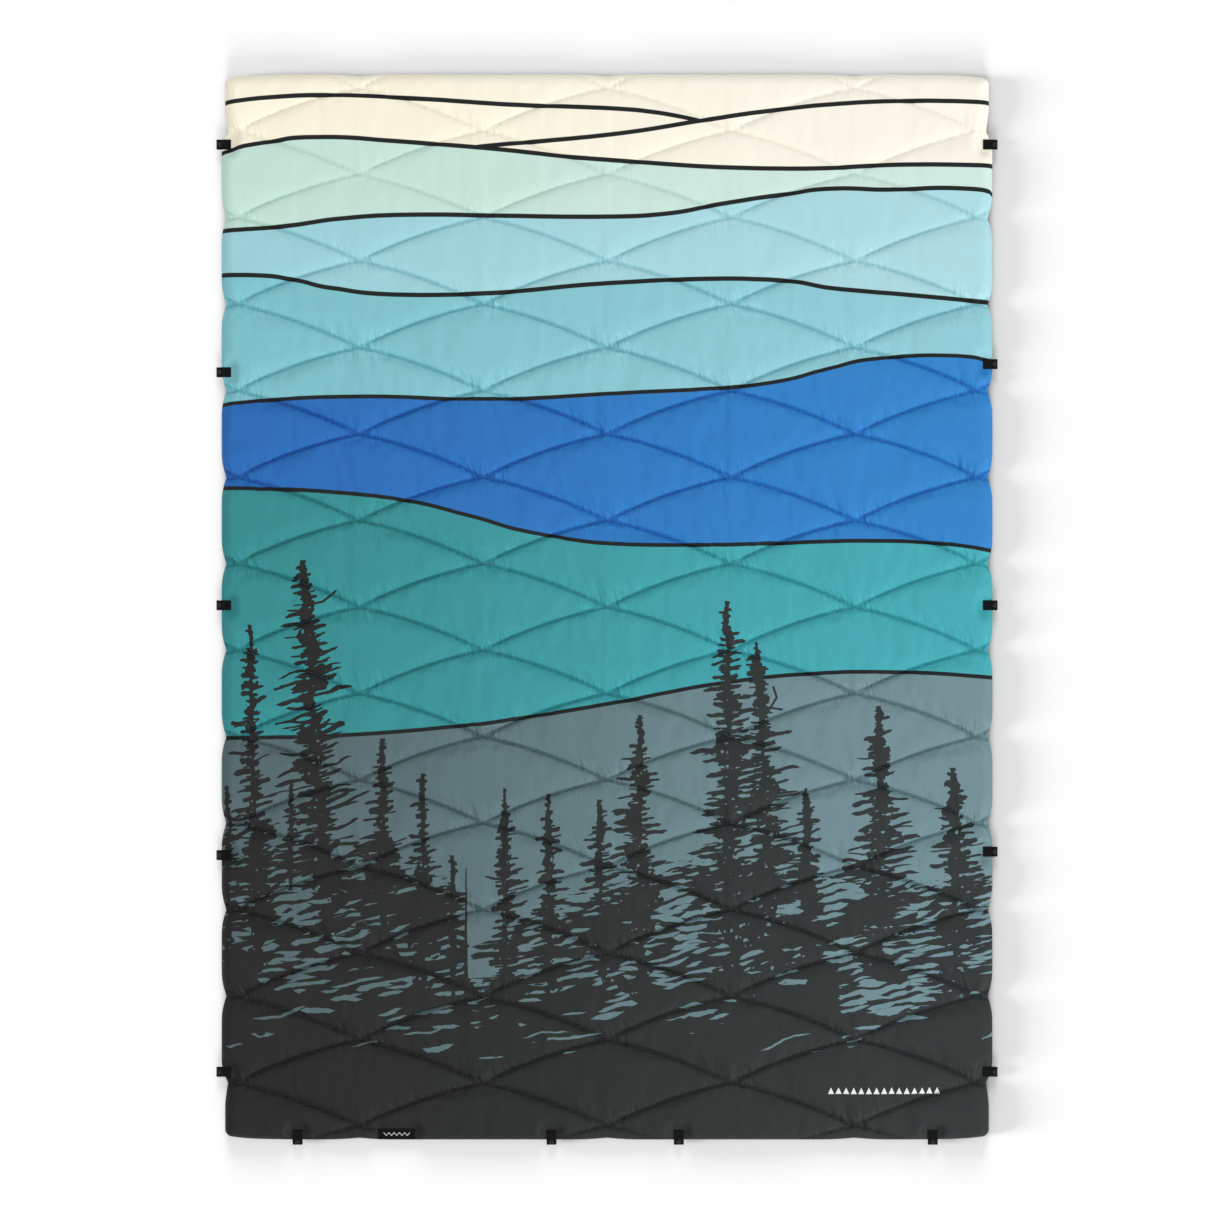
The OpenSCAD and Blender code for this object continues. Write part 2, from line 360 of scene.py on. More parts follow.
class Graph:
    """Builds a material; every input may be a number, a colour or the value of another node."""

    def __init__(self, name):
        self.material = bpy.data.materials.new(name)
        self.material.use_nodes = True
        self.tree = self.material.node_tree
        self.tree.nodes.clear()

    def put(self, socket, value):
        if isinstance(value, Value):
            self.tree.links.new(value.socket, socket)
        else:
            socket.default_value = value

    def node(self, kind, *inputs, **settings):
        """A new node with its first inputs filled."""
        made = self.tree.nodes.new(kind)
        for key, value in settings.items():
            setattr(made, key, value)
        for socket, value in zip(made.inputs, inputs):
            self.put(socket, value)
        return made

    def fill(self, made, inputs):
        """Fills a node's inputs by name."""
        for name, value in inputs.items():
            self.put(made.inputs[name], value)

    def value(self, made, output=0):
        return Value(self, made.outputs[output])

    def math(self, operation, a, b=0.0, c=0.0):
        return self.value(self.node("ShaderNodeMath", a, b, c, operation=operation))

    def top(self, a, b):
        return self.math("MAXIMUM", a, b)

    def least(self, a, b):
        return self.math("MINIMUM", a, b)

    def more(self, a, b):
        """1 where a is greater than b, else 0."""
        return self.math("GREATER_THAN", a, b)

    def size(self, a):
        return self.math("ABSOLUTE", a)

    def off_middle(self, a):
        """How far a is from the middle between the whole numbers below and above it."""
        return self.size(self.math("FRACT", a) - 0.5)

    def ramp(self, value, low, high, out_low=0.0, out_high=1.0):
        """A smooth step from out_low at low to out_high at high."""
        inputs = (value, low, high, out_low, out_high)
        return self.value(self.node("ShaderNodeMapRange", *inputs, interpolation_type="SMOOTHSTEP"))

    def mix(self, factor, a, b):
        made = self.node("ShaderNodeMix", factor, data_type="RGBA")
        self.put(made.inputs[6], a)
        self.put(made.inputs[7], b)
        return self.value(made, 2)

    def paint_shade(self, color, amount, gamma=1.45):
        """The same colour, darker and richer, mixed in by amount: painted shade."""
        return self.mix(amount, color, self.value(self.node("ShaderNodeGamma", color, gamma)))

    def brighter(self, color, amount):
        """The same colour, brighter by the given share."""
        made = self.node("ShaderNodeVectorMath", color, operation="SCALE")
        self.fill(made, {"Scale": 1 + amount})
        return self.value(made)

    def vector(self, place):
        """Two or three numbers as a vector; a vector stays as it is."""
        if isinstance(place, Value):
            return place
        return self.value(self.node("ShaderNodeCombineXYZ", *place))

    def parts(self, kind, value):
        """The three parts of a vector (kind XYZ) or of a colour (kind Color)."""
        made = self.node("ShaderNodeSeparate" + kind, value)
        return [Value(self, output) for output in made.outputs]

    def noise(self, place, detail=2.0, rough=0.5, scale=1.0):
        made = self.node("ShaderNodeTexNoise", self.vector(place), noise_dimensions="3D")
        self.fill(made, {"Scale": scale, "Detail": detail, "Roughness": rough})
        return self.value(made, "Fac")

    def random(self, place):
        """Three random numbers for each whole-numbered place."""
        made = self.node("ShaderNodeTexWhiteNoise", self.vector(place), noise_dimensions="3D")
        return self.parts("Color", self.value(made, "Color"))

    def cloth_mm(self):
        """x and y on the flat cloth, in millimetres from its middle."""
        u, v, _ = self.parts("XYZ", self.value(self.node("ShaderNodeUVMap", uv_map="print")))
        return u * PER_M, v * PER_M

    def place(self):
        """The place in the piece, in metres."""
        return self.value(self.node("ShaderNodeTexCoord"), "Object")

    def attribute(self, name):
        return self.value(self.node("ShaderNodeAttribute", attribute_name=name), "Fac")

    def curve(self, x, points):
        """Height of a hand-drawn line at x, through points in millimetres."""
        half = HALF_W / MM
        low = min(p[1] for p in points) - 5
        high = max(p[1] for p in points) + 5
        made = self.node("ShaderNodeFloatCurve")
        line = made.mapping.curves[0]
        while len(line.points) < len(points):
            line.points.new(0.5, 0.5)
        for knot, (px, py) in zip(line.points, sorted(points)):
            knot.location = ((px + half) / (2 * half), (py - low) / (high - low))
        made.mapping.update()
        self.fill(made, {"Factor": 1, "Value": (x + half) / (2 * half)})
        return self.value(made) * (high - low) + low

    def bump(self, height, strength, distance):
        made = self.node("ShaderNodeBump")
        self.fill(made, {"Strength": strength, "Distance": distance, "Height": height})
        return self.value(made)

    def finish(self, color, rough, normal=None, specular=0.4, sheen=0.0):
        """Ends the graph in a shader and returns the material."""
        made = self.node("ShaderNodeBsdfPrincipled")
        self.fill(made, {"Base Color": color, "Roughness": rough, "Specular IOR Level": specular,
                         "Sheen Weight": sheen, "Sheen Roughness": SHEEN_ROUGH})
        if normal is not None:
            self.put(made.inputs["Normal"], normal)
        self.node("ShaderNodeOutputMaterial", self.value(made))
        return self.material


def linear(r, g, b, scale=1.0):
    """A linear colour from 8-bit display values."""
    def one(c):
        c = c / 255
        return c / 12.92 if c <= 0.04045 else ((c + 0.055) / 1.055) ** 2.4
    return (one(r) * scale, one(g) * scale, one(b) * scale, 1.0)


# ---- the printed landscape ----

PRINT_GAIN = 0.86           # how much darker the dyes are than they look under the lights

RIDGES = {
    "cloud_top": [(-660, 862), (-560, 872), (-480, 875), (-310, 868), (-190, 860), (20, 851),
                  (60, 848), (185, 825), (660, 700)],
    "cloud_low": [(-660, 700), (-400, 762), (-220, 786), (20, 809), (185, 835), (310, 852),
                  (400, 860), (515, 865), (660, 862)],
    "mint": [(-660, 776), (-570, 796), (-495, 803), (-375, 797), (-220, 785), (20, 763),
             (310, 749), (515, 756), (660, 754)],
    "light_aqua": [(-660, 643), (-560, 650), (-440, 665), (-350, 670), (20, 667), (80, 670),
                   (195, 689), (310, 706), (400, 715), (470, 713), (585, 716), (660, 705)],
    "aqua": [(-660, 567), (-605, 567), (-545, 561), (-465, 544), (-330, 533), (-240, 535),
             (20, 554), (195, 561), (285, 559), (380, 545), (515, 533), (660, 521)],
    "blue": [(-660, 345), (-560, 355), (-420, 360), (-205, 355), (20, 365), (215, 376),
             (285, 384), (380, 407), (470, 425), (560, 430), (660, 420)],
    "teal": [(-660, 203), (-515, 199), (-365, 185), (-240, 157), (-110, 124), (20, 107),
             (265, 108), (425, 112), (540, 110), (660, 96)],
    "slate": [(-660, -224), (-465, -220), (-285, -207), (-145, -190), (20, -163), (195, -131),
              (355, -114), (450, -111), (660, -121)],
}
SIDE_LIT_DYES = {                    # display colours at the left edge and at the right edge: the print's colours, with painted light making the right edge lighter
    "cream": ((250, 243, 221), (252, 247, 233)),
    "mint": ((194, 225, 212), (209, 233, 225)),
    "light_aqua": ((154, 207, 216), (174, 219, 226)),
    "aqua": ((124, 191, 200), (146, 204, 215)),
    "blue": ((38, 104, 180), (48, 132, 203)),
    "teal": ((51, 138, 141), (68, 171, 181)),
    "slate": ((82, 102, 105), (114, 143, 150)),
    "ground": ((32, 33, 32), (46, 51, 51)),
}
LINE_INK = linear(24, 28, 28, PRINT_GAIN)


# The print colour across the cloth, painted lighter towards the right edge as if lit from there.
def side_lit_dye(g, name, across):
    left, right = SIDE_LIT_DYES[name]
    return g.mix(across, linear(*left, PRINT_GAIN), linear(*right, PRINT_GAIN))


def bands(g, x, y, names, top):
    """Colour bands split by the ridge lines in names, and the ink of those lines."""
    across = g.ramp(x, -700, 700)
    color, ink = side_lit_dye(g, top, across), None
    heights = {name: g.curve(x, RIDGES[name]) for name in names}
    if "cloud_low" in heights:
        heights["cloud_low"] = g.top(heights["cloud_low"], heights["mint"])
        heights["cloud_top"] = g.top(heights["cloud_top"], heights["cloud_low"])
    for name in names:
        away = y - heights[name]
        if name in SIDE_LIT_DYES:
            color = g.mix(g.math("LESS_THAN", away, 0), color, side_lit_dye(g, name, across))
        half = 3.9 if name in ("cloud_top", "cloud_low", "mint", "light_aqua", "aqua") else 3.4
        line = g.ramp(g.size(away), half + 0.5, half - 0.5)
        ink = line if ink is None else g.top(ink, line)
    return color, ink, across


# Conifers: place of the trunk, height of the tip, reach of the branches, all in millimetres,
# and how far to the right the trunk has drifted 500 mm below its tip
TALL_TREES = [(-610, -30, 48, 10), (-520, 80, 58, 34), (-315, -285, 40, 4), (-175, -310, 46, 4),
              (-100, -320, 44, 2), (55, -185, 58, 4), (205, 10, 56, 10), (340, -310, 60, 8),
              (465, -170, 66, 4), (590, -275, 66, 8)]
BACK_TREES = [(-650, -305, 34, 0), (-540, -300, 32, -2), (-385, -225, 48, 10), (-265, -425, 28, 4),
              (-15, -330, 54, 16), (255, -60, 62, 28)]
# Thin crooked twigs, each from one end to the other, in millimetres
TWIGS = [(-505, 5, -486, 9), (-486, 9, -464, 27), (284, -137, 290, -155), (290, -155, 272, -186),
         (256, -170, 300, -176)]


def choose(g, x, trees):
    """The trunk, tip, reach and drift of the nearest tree to x, where a wide tree counts as nearer."""
    half = HALF_W / MM
    found = []
    spans = [(min(column) - 1, max(column) + 1) for column in zip(*trees)]
    for pair in ((0, 1), (2, 3)):
        made = g.node("ShaderNodeValToRGB")
        table = made.color_ramp
        table.interpolation = "CONSTANT"
        ordered = sorted(trees)
        pairs = zip(ordered, ordered[1:])
        starts = [-half] + [a[0] + (b[0] - a[0]) * a[2] / (a[2] + b[2]) for a, b in pairs]
        while len(table.elements) < len(ordered):
            table.elements.new(0.5)
        for element, start, tree in zip(table.elements, starts, ordered):
            element.position = (start + half) / (2 * half)
            coded = [(tree[p] - spans[p][0]) / (spans[p][1] - spans[p][0]) for p in pair]
            element.color = (coded[0], coded[1], 0, 1)
        g.put(made.inputs[0], (x + half) / (2 * half))
        for p, out in zip(pair, g.parts("Color", g.value(made))):
            low, high = spans[p]
            found.append(out * (high - low) + low)
    return found


def branches(g, far, side, level, spread, seed):
    """One stack of blunt brush strokes, each of its own length and thickness."""
    level = level + side * 0.31
    layer = g.math("FLOOR", level)
    within = g.off_middle(level)
    long, thick, gap = g.random((layer, side, seed))
    length = spread * (0.4 + long * long * 0.95)
    taper = g.least((1 - far / length) * 7, 1)
    stroke = g.more(taper * (0.12 + thick * 0.2), within)
    return stroke * g.more(gap, 0.1)


def conifers(g, x, y, trees, pitch, seed):
    """Ink of a row of conifers: the solid part round the trunks, and the brush strokes beyond it."""
    ragged = g.noise((seed, y * 0.09, 2), 1)
    trunk, tip, reach, drift = choose(g, x + (ragged - 0.5) * 60, trees)
    below = tip - y
    u = x - trunk - drift * (below / 500)
    wobble = g.noise((x * 0.09, y * 0.16, seed), 2)
    u += (wobble - 0.5) * 9
    side = g.math("SIGN", u)
    far = g.size(u)
    own = trunk * 0.37 + seed
    grown = g.math("POWER", g.least(g.top(below, 0), 330) / 300, 0.8)
    slow = g.noise((side * 2, below * 0.02, own), 2)
    clump = g.ramp(slow, 0.34, 0.62)
    spread = (reach * grown + 5) * (0.62 + clump * 0.5)
    sway = (g.noise((x * 0.02, y * 0.03, seed), 1) - 0.5) * 22
    rise = g.ramp(x, -480, 60, 0.30, 0.13)
    rise *= g.ramp(side, -1, 1, 0.35, 1)
    height = below + sway + u * rise
    ink = branches(g, far, side, height / pitch, spread, own)
    height = below - sway + u * (rise + 0.12)
    ink = g.top(ink, branches(g, far, side, height / (pitch * 1.35), spread, own + 5))
    lump = g.noise((side * 3, height / pitch, own), 1)
    filled = 0.04 + clump * (reach * 0.006)
    filled *= g.ramp(lump, 0.3, 0.6, 0.5, 1.3)
    body = g.more(2.2 + spread * filled, far)
    hole = g.noise((x * 0.09, height / pitch, seed + 4), 1)
    body *= g.more(0.62 + g.ramp(below, 120, 0, 0, 0.3), hole)
    shown = g.more(below, 0)
    return g.top(body, g.more(2.2, far)) * shown, ink * shown


def twig(g, x, y, x0, y0, x1, y1, half=2):
    """Ink of one straight twig from (x0, y0) to (x1, y1)."""
    length = math.hypot(x1 - x0, y1 - y0)
    ux, uy = (x1 - x0) / length, (y1 - y0) / length
    dx, dy = x - x0, y - y0
    along = dx * ux + dy * uy
    aside = g.size(dy * ux - dx * uy)
    beyond = g.size(along - length / 2)
    return g.more(half, aside) * g.more(length / 2 + 1, beyond)


# Where the dark undergrowth begins, in millimetres
UNDERGROWTH = [(-660, -440), (-600, -430), (-520, -425), (-430, -435), (-390, -385), (-350, -440),
               (-310, -475), (-243, -490), (-235, -640), (-190, -640), (-160, -550), (-60, -500),
               (60, -470), (160, -440), (280, -450), (400, -470), (520, -480), (660, -470)]
# Clearings in it: middle, half width, half height and how open each is; and solid thickets
CLEARINGS = [(-525, -500, 60, 58, 0.78), (-500, -595, 70, 32, 0.6), (-638, -520, 34, 90, 0.35),
             (-205, -530, 34, 85, 1.0), (-205, -625, 50, 26, 0.3), (-62, -500, 40, 45, 0.7),
             (-60, -612, 70, 30, 0.45), (118, -530, 60, 62, 0.7), (300, -510, 60, 50, 0.55),
             (400, -490, 50, 45, 0.8), (560, -560, 60, 30, 0.35), (476, -664, 90, 36, 0.75),
             (620, -480, 40, 26, 0.5)]
THICKETS = [(-340, -495, 95, 55), (180, -430, 40, 50), (600, -480, 60, 26), (-640, -620, 50, 30)]


def openness(g, x, y):
    """How much light shows through the undergrowth, from 0 to about 1."""
    ragged = (g.noise((x * 0.02, y * 0.035, 8), 2, 0.6) - 0.5) * 0.9

    def spot(middle_x, middle_y, wide, high):
        dx = (x - middle_x) / wide
        dy = (y - middle_y) / high
        away = g.math("SQRT", dx * dx + dy * dy)
        return g.ramp(away + ragged, 1.2, 0.6)

    patchy = g.noise((x * 0.007, y * 0.011, 3), 2, 0.6)
    field = g.ramp(y, -600, -750, 1, 0.35) * g.ramp(x, -150, 150, 0.39, 0.43)
    field *= g.ramp(patchy, 0.34, 0.56, 0.35, 1)
    for middle_x, middle_y, wide, high, light in CLEARINGS:
        field = g.top(field, spot(middle_x, middle_y, wide, high) * light)
    for thicket in THICKETS:
        field *= 1 - spot(*thicket) * 0.6
    return field


def slits(g, x, y, light, tilt, pitch, length, seed):
    """Slanting blunt slits in rows, thicker and closer together where light is high."""
    bend = (g.noise((x * 0.012, y * 0.014, seed), 1) - 0.5) * 34
    bend += g.noise((x * 0.06, y * 0.12, seed), 1) * 4
    lean = (y - x * tilt + bend) / pitch
    row = g.math("FLOOR", lean)
    shift, _, _ = g.random((row, seed, 1))
    along = x / length + shift * 7
    cell = g.math("FLOOR", along)
    long, thick, here = g.random((row, cell, seed))
    end = 0.2 + long * 0.26 + light * 0.07
    end -= g.off_middle(along)
    full = 0.09 + thick * 0.12 + light * 0.2
    half = g.least(end * 7, 1) * full
    mark = g.more(half, g.off_middle(lean))
    return mark * g.more(g.ramp(light, 0, 0.6), here)


def forest(g, x, y):
    """Ink of the trees, the undergrowth and the ground, with slits of light left in it."""
    depth = g.curve(x, UNDERGROWTH) - y
    light = openness(g, x, y)
    body, ink = conifers(g, x, y, TALL_TREES, 11, 3)
    back_body, back_ink = conifers(g, x, y, BACK_TREES, 10, 11)
    body = g.top(body, back_body) * g.more(g.ramp(light, 0.3, 0.8, 190, 60), depth)
    ink = g.top(ink, back_ink) * g.more(g.ramp(light, 0.3, 0.7, 130, 0), depth)
    spike = g.more(1 + (-446 - y) * 0.011, g.size(x + 241)) * g.more(-446, y)
    ink = g.top(g.top(body, ink), spike)
    for ends in TWIGS:
        ink = g.top(ink, twig(g, x, y, *ends))
    fringe = g.noise((x * 0.03, (y - x * 0.15) * 0.16, 6), 2)
    ground = g.more(depth + (fringe - 0.5) * 110, 0)
    fade = light * g.ramp(y, -745, -785, 1, 0)
    open_at = g.top(slits(g, x, y, fade, 0.22, 12.5, 104, 5),
                    slits(g, x, y, fade, 0.13, 15, 76, 9))
    return g.top(ink, ground * (1 - open_at))


def peaks_mark(g, x, y):
    """A plain row of small peaks where makers print a name."""
    step, half_h = 13, 5.5
    u = x - 376
    v = y + 827
    near = g.off_middle(u / step)
    inside = g.more(0.4 - (v + half_h) * (0.4 / (2 * half_h)), near)
    inside *= g.more(half_h, g.size(v)) * g.more(u, 0)
    return inside * g.more(15 * step, u)


def cloth_relief(g, x, y):
    """Fine gathers by the stitch lines, soft crumple and the ripstop grid; a mask of painted shade along
    the stitch lines; a mask of painted highlight on the gathers' ridges.
    """
    near = g.attribute("near_seam") * PER_M
    close = g.math("POWER", 2.718, near / -14)
    # painted shade: a narrow dark line along each stitch line, in place of the shadow in its groove
    crease_shade = g.ramp(near, 4, 2)
    aside = g.off_middle(x / (PITCH / MM) + 0.5)
    close *= g.ramp(aside, 0.38, 0.06, 0.25, 1)
    lean = x + y * 0.25
    gathers = g.noise((lean * 0.075, y * 0.022, 1), 1, 0.5)
    gathers = g.size(gathers - 0.5) * -4
    sharp = g.size(g.noise((lean * 0.13, y * 0.03, 9), 0) - 0.5)
    # painted highlight: a thin lighter streak on the crest of each gather near a stitch line, in place of
    # the glint of light on it
    painted_glint = g.ramp(sharp, 0.09, 0) * close
    sharp = g.ramp(sharp, 0.16, 0) * close
    crumple = g.noise((x * 0.05, y * 0.03, 4), 3, 0.6)
    grid = g.top(g.ramp(g.off_middle(x * 0.2), 0.38, 0.5),
                 g.ramp(g.off_middle(y * 0.2), 0.38, 0.5))
    height = gathers * (close * 1.8 + 0.03) + crumple * 0.35 + sharp * 0.16
    height *= g.ramp(y, 300, 640, 1, 0.4)
    return height + grid * 0.03, crease_shade, painted_glint


def face_material(name, upper):
    """The printed face; only its lower part carries the costly forest."""
    g = Graph(name)
    x, y = g.cloth_mm()
    relief, crease_shade, painted_glint = cloth_relief(g, x, y)
    if upper:
        names = ("cloud_top", "cloud_low", "mint", "light_aqua", "aqua", "blue", "teal")
        color, ink, across = bands(g, x, y, names, "cream")
    else:
        color, ink, across = bands(g, x, y, ("teal", "slate"), "blue")
    color = g.mix(ink, color, LINE_INK)
    if not upper:
        color = g.mix(forest(g, x, y), color, side_lit_dye(g, "ground", across))
        color = g.mix(peaks_mark(g, x, y), color, linear(235, 238, 236, PRINT_GAIN))
    blotch = g.noise((x * 0.012, y * 0.012, 7), 2)
    # painted shade in the stitch-line grooves, weaker towards the top and the bottom
    crease_shade *= g.ramp(y, 640, 760, 0.58, 0.16) * g.ramp(y, -500, -700, 1, 0.6)
    color = g.paint_shade(color, crease_shade)
    # painted highlight on the gathers' ridges, weaker towards the top
    color = g.brighter(color, painted_glint * g.ramp(y, 500, 760, 0.26, 0.03))
    rough = 0.52 + blotch * 0.16
    return g.finish(color, rough, g.bump(relief, 0.9, 0.0018), specular=0.16, sheen=0.015)


def back_material():
    g = Graph("back_cloth")
    x, y = g.cloth_mm()
    relief, crease_shade, _ = cloth_relief(g, x, y)
    cloud = g.noise((x * 0.01, y * 0.01, 2), 3)
    color = g.mix(cloud, linear(56, 62, 64), linear(68, 75, 78))
    # painted shade in the stitch-line grooves
    color = g.paint_shade(color, crease_shade * 0.7)
    rough = 0.5 + cloud * 0.16
    return g.finish(color, rough, g.bump(relief, 0.9, 0.0018), specular=0.25, sheen=0.03)


def thread_material(name, printed):
    """Thread in the colour of the cloth round it, with a twist, darkened by painted shade, more along
    each twist.
    """
    g = Graph(name)
    x, y = g.cloth_mm()
    if printed:
        color, ink, across = bands(g, x, y, tuple(RIDGES), "cream")
        color = g.mix(ink, color, LINE_INK)
        color = g.mix(g.ramp(y, -120, -520), color, side_lit_dye(g, "ground", across))
    else:
        color = linear(60, 66, 69)
    twist = g.math("FRACT", x * 1.7 + y * 1.1)
    # painted shade: the thread darker than the cloth, as in a groove, weaker towards the top
    depth = g.ramp(y, 640, 760, 1, 0.3) if printed else 1
    color = g.paint_shade(color, (0.25 + twist * 0.3) * depth)
    return g.finish(color, 0.5 + twist * 0.2, g.bump(twist, 0.4, 0.0003), sheen=0.2)


# ---- cloth pieces ----

def surface_points(x, y, height):
    nx, ny = outline(x, y)
    z, near = height(x, y)
    co = np.stack([nx, ny + MID_Y, z], -1).reshape(-1, 3)
    return co, near.ravel()


def make_sheet(name, height, flip, step_x):
    """A quilted cloth, and its vertices' places on the flat cloth."""
    x, y, on_seam = rest_grid(step_x, STEPS_Y)
    co, near = surface_points(x, y, height)
    flat = np.stack([x, y], -1).reshape(-1, 2)
    return mesh_object(name, co, grid_faces(on_seam, flip), flat, near_seam=near), flat


def puffed_by_cloth():
    """How far the face moves, on the coarse grid, as a cloth that is sewn down along the stitch lines."""
    x, y, on_seam = rest_grid(*COARSE)
    co, _ = surface_points(x, y, face_height)
    held = on_seam.copy()
    held[:2], held[-2:], held[:, :2], held[:, -2:] = True, True, True, True
    held |= pressed(x, y) < 0.7
    obj = mesh_object("cloth_step", co, grid_faces(on_seam, False))
    group = obj.vertex_groups.new(name="sewn")
    group.add([int(i) for i in np.flatnonzero(held.ravel())], 1.0, "REPLACE")
    cloth = obj.modifiers.new("cloth", "CLOTH")
    made = cloth.settings
    made.vertex_group_mass = "sewn"
    made.quality = 4
    made.mass = 0.05
    made.tension_stiffness = 12
    made.compression_stiffness = 12
    made.shear_stiffness = 4
    made.bending_stiffness = 0.02
    made.use_pressure = True
    made.uniform_pressure_force = 1.5
    made.shrink_min = -0.025
    made.effector_weights.gravity = 0.0
    scene = bpy.context.scene
    for frame_number in range(1, CLOTH_FRAMES + 1):
        scene.frame_set(frame_number)
    shaped = obj.evaluated_get(bpy.context.evaluated_depsgraph_get()).to_mesh()
    after = np.empty(len(co) * 3)
    shaped.vertices.foreach_get("co", after)
    moved = after.reshape(-1, 3) - co
    scene.frame_set(1)
    bpy.data.objects.remove(obj)
    return moved.reshape(x.shape + (3,))


def add_cloth_step(obj):
    """Moves the face's vertices as the cloth step moved its coarse grid, by no more than CLOTH_CAP."""
    moved = puffed_by_cloth()
    x, y, _ = rest_grid(STEPS_X, STEPS_Y)
    free = smooth(face_height(x, y)[1] / 0.007) * calm(y)
    coarse_x, coarse_y = flat_lines(*COARSE)
    fine_x, fine_y = flat_lines(STEPS_X, STEPS_Y)
    co = np.empty(len(obj.data.vertices) * 3)
    obj.data.vertices.foreach_get("co", co)
    co = co.reshape(len(fine_x), len(fine_y), 3)
    for axis in range(3):
        rows = np.array([np.interp(fine_y, coarse_y, line) for line in moved[..., axis]])
        full = np.array([np.interp(fine_x, coarse_x, line) for line in rows.T]).T
        co[..., axis] += free * np.clip(0.55 * full, -CLOTH_CAP, CLOTH_CAP)
    co[..., 2] = np.clip(co[..., 2], min(SEAM_Z * 0.95, HEM_Z), LOFT - 0.0004)
    obj.data.vertices.foreach_set("co", co.ravel())
    obj.data.update()


face, face_flat = make_sheet("face_shell", face_height, False, STEPS_X)
add_cloth_step(face)
SPLIT_Y = 0.12              # above the tallest tree
face.data.materials.append(face_material("print_hills", True))
face.data.materials.append(face_material("print_forest", False))
corner_y = face_flat[np.array([p.vertices[0] for p in face.data.polygons])][:, 1]
face.data.polygons.foreach_set("material_index", (corner_y < SPLIT_Y).astype(np.int32))

back, _ = make_sheet("back_shell", back_height, True, STEPS_X // 2)
back.data.materials.append(back_material())


def in_place_of(halves):
    """A piece that crosses the fold takes the place of a pair of CAD nodes."""
    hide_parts(halves + "_left", halves + "_right")


in_place_of("face_shell")
in_place_of("back_shell")

# ---- batting: fills the space between the two cloths, with no gathers of its own ----

def make_batting():
    x, y, on_seam = rest_grid(STEPS_X // 2, STEPS_Y)
    inner = (slice(2, -2), slice(2, -2))
    x, y, on_seam = x[inner], y[inner], on_seam[inner]
    nx, ny = outline(x, y)
    face_z, _ = face_height(x, y, gathers=0.0)
    back_z, _ = back_height(x, y, gathers=0.0)
    for axis in (0, 1):
        for way in (-1, 1):
            face_z = np.minimum(face_z, np.roll(face_z, way, axis))
            back_z = np.maximum(back_z, np.roll(back_z, way, axis))
    thick = np.maximum(face_z - back_z, 0.0004)
    top, low = (np.stack([nx, ny + MID_Y, back_z + share * thick], -1).reshape(-1, 3)
                for share in (0.66, 0.15))
    ids = np.arange(x.size).reshape(x.shape)
    ring = np.concatenate([ids[:, 0], ids[-1, 1:], ids[-2::-1, -1], ids[0, -2:0:-1]])
    after = np.roll(ring, -1)
    n = x.size
    faces = np.concatenate([grid_faces(on_seam, False), grid_faces(on_seam, True) + n,
                            np.stack([ring + n, after + n, after], 1),
                            np.stack([ring + n, after, ring], 1)])
    flat = np.stack([x, y], -1).reshape(-1, 2)
    return mesh_object("batting_fill", np.concatenate([top, low]), faces, np.concatenate([flat, flat]))


def batting_material():
    g = Graph("polyester_batting")
    x, y = g.cloth_mm()
    fibre = g.noise((x * 0.4, y * 0.4), 4, 0.7)
    color = g.mix(fibre, linear(226, 226, 220), linear(246, 246, 242))
    return g.finish(color, 0.9, g.bump(fibre, 0.8, 0.002), specular=0.1, sheen=0.3)


# ---- stitches ----

def stitch_mesh(name, starts, ends, flats, radius, rise):
    """A short spindle of thread from each start to each end, lying on the cloth."""
    along = ends - starts
    length = np.linalg.norm(along, axis=1, keepdims=True)
    along /= np.maximum(length, 1e-9)
    side = np.stack([-along[:, 1], along[:, 0], np.zeros(len(along))], 1)
    side /= np.maximum(np.linalg.norm(side, axis=1, keepdims=True), 1e-9)
    up = np.cross(along, side)
    up *= np.sign(up[:, 2:3])
    rows = [starts - up * radius * 0.6]
    for t in (0.22, 0.78):
        middle = starts + (ends - starts) * t + up * rise
        for a in (0, 1, 2, 3):
            turn = a * math.pi / 2
            rows.append(middle + (side * math.cos(turn) + up * math.sin(turn)) * radius)
    rows.append(ends - up * radius * 0.6)
    co = np.stack(rows, 1).reshape(-1, 3)
    ring = [(1 + a, 1 + (a + 1) % 4) for a in range(4)]
    one = [(0, b, a) for a, b in ring] + [(a, b, b + 4) for a, b in ring]
    one += [(a, b + 4, a + 4) for a, b in ring] + [(9, a + 4, b + 4) for a, b in ring]
    base = np.arange(len(starts))[:, None, None] * 10
    faces = (np.array(one)[None] + base).reshape(-1, 3)
    return mesh_object(name, co, faces, np.repeat(flats, 10, axis=0))


QUILT_STITCH = (0.0048, 0.0040)     # pitch and length
SEAM_STITCH = (0.0042, 0.0036)
LABEL_STITCH = (0.0026, 0.0021)
QUILT_THREAD = 0.00048              # radius
TACK_THREAD = 0.00026
FINE_THREAD = 0.00022


def run_of_stitches(points, pitch, length):
    """Starts, ends and middles of even stitches along a polyline of points."""
    step = np.linalg.norm(np.diff(points, axis=0), axis=1)
    far = np.concatenate([[0], np.cumsum(step)])
    count = max(int(far[-1] // pitch), 1)
    at = (np.arange(count) + 0.5) * far[-1] / count

    def place(s):
        return np.stack([np.interp(s, far, points[:, k]) for k in range(points.shape[1])], 1)

    return place(at - length / 2), place(at + length / 2), place(at)


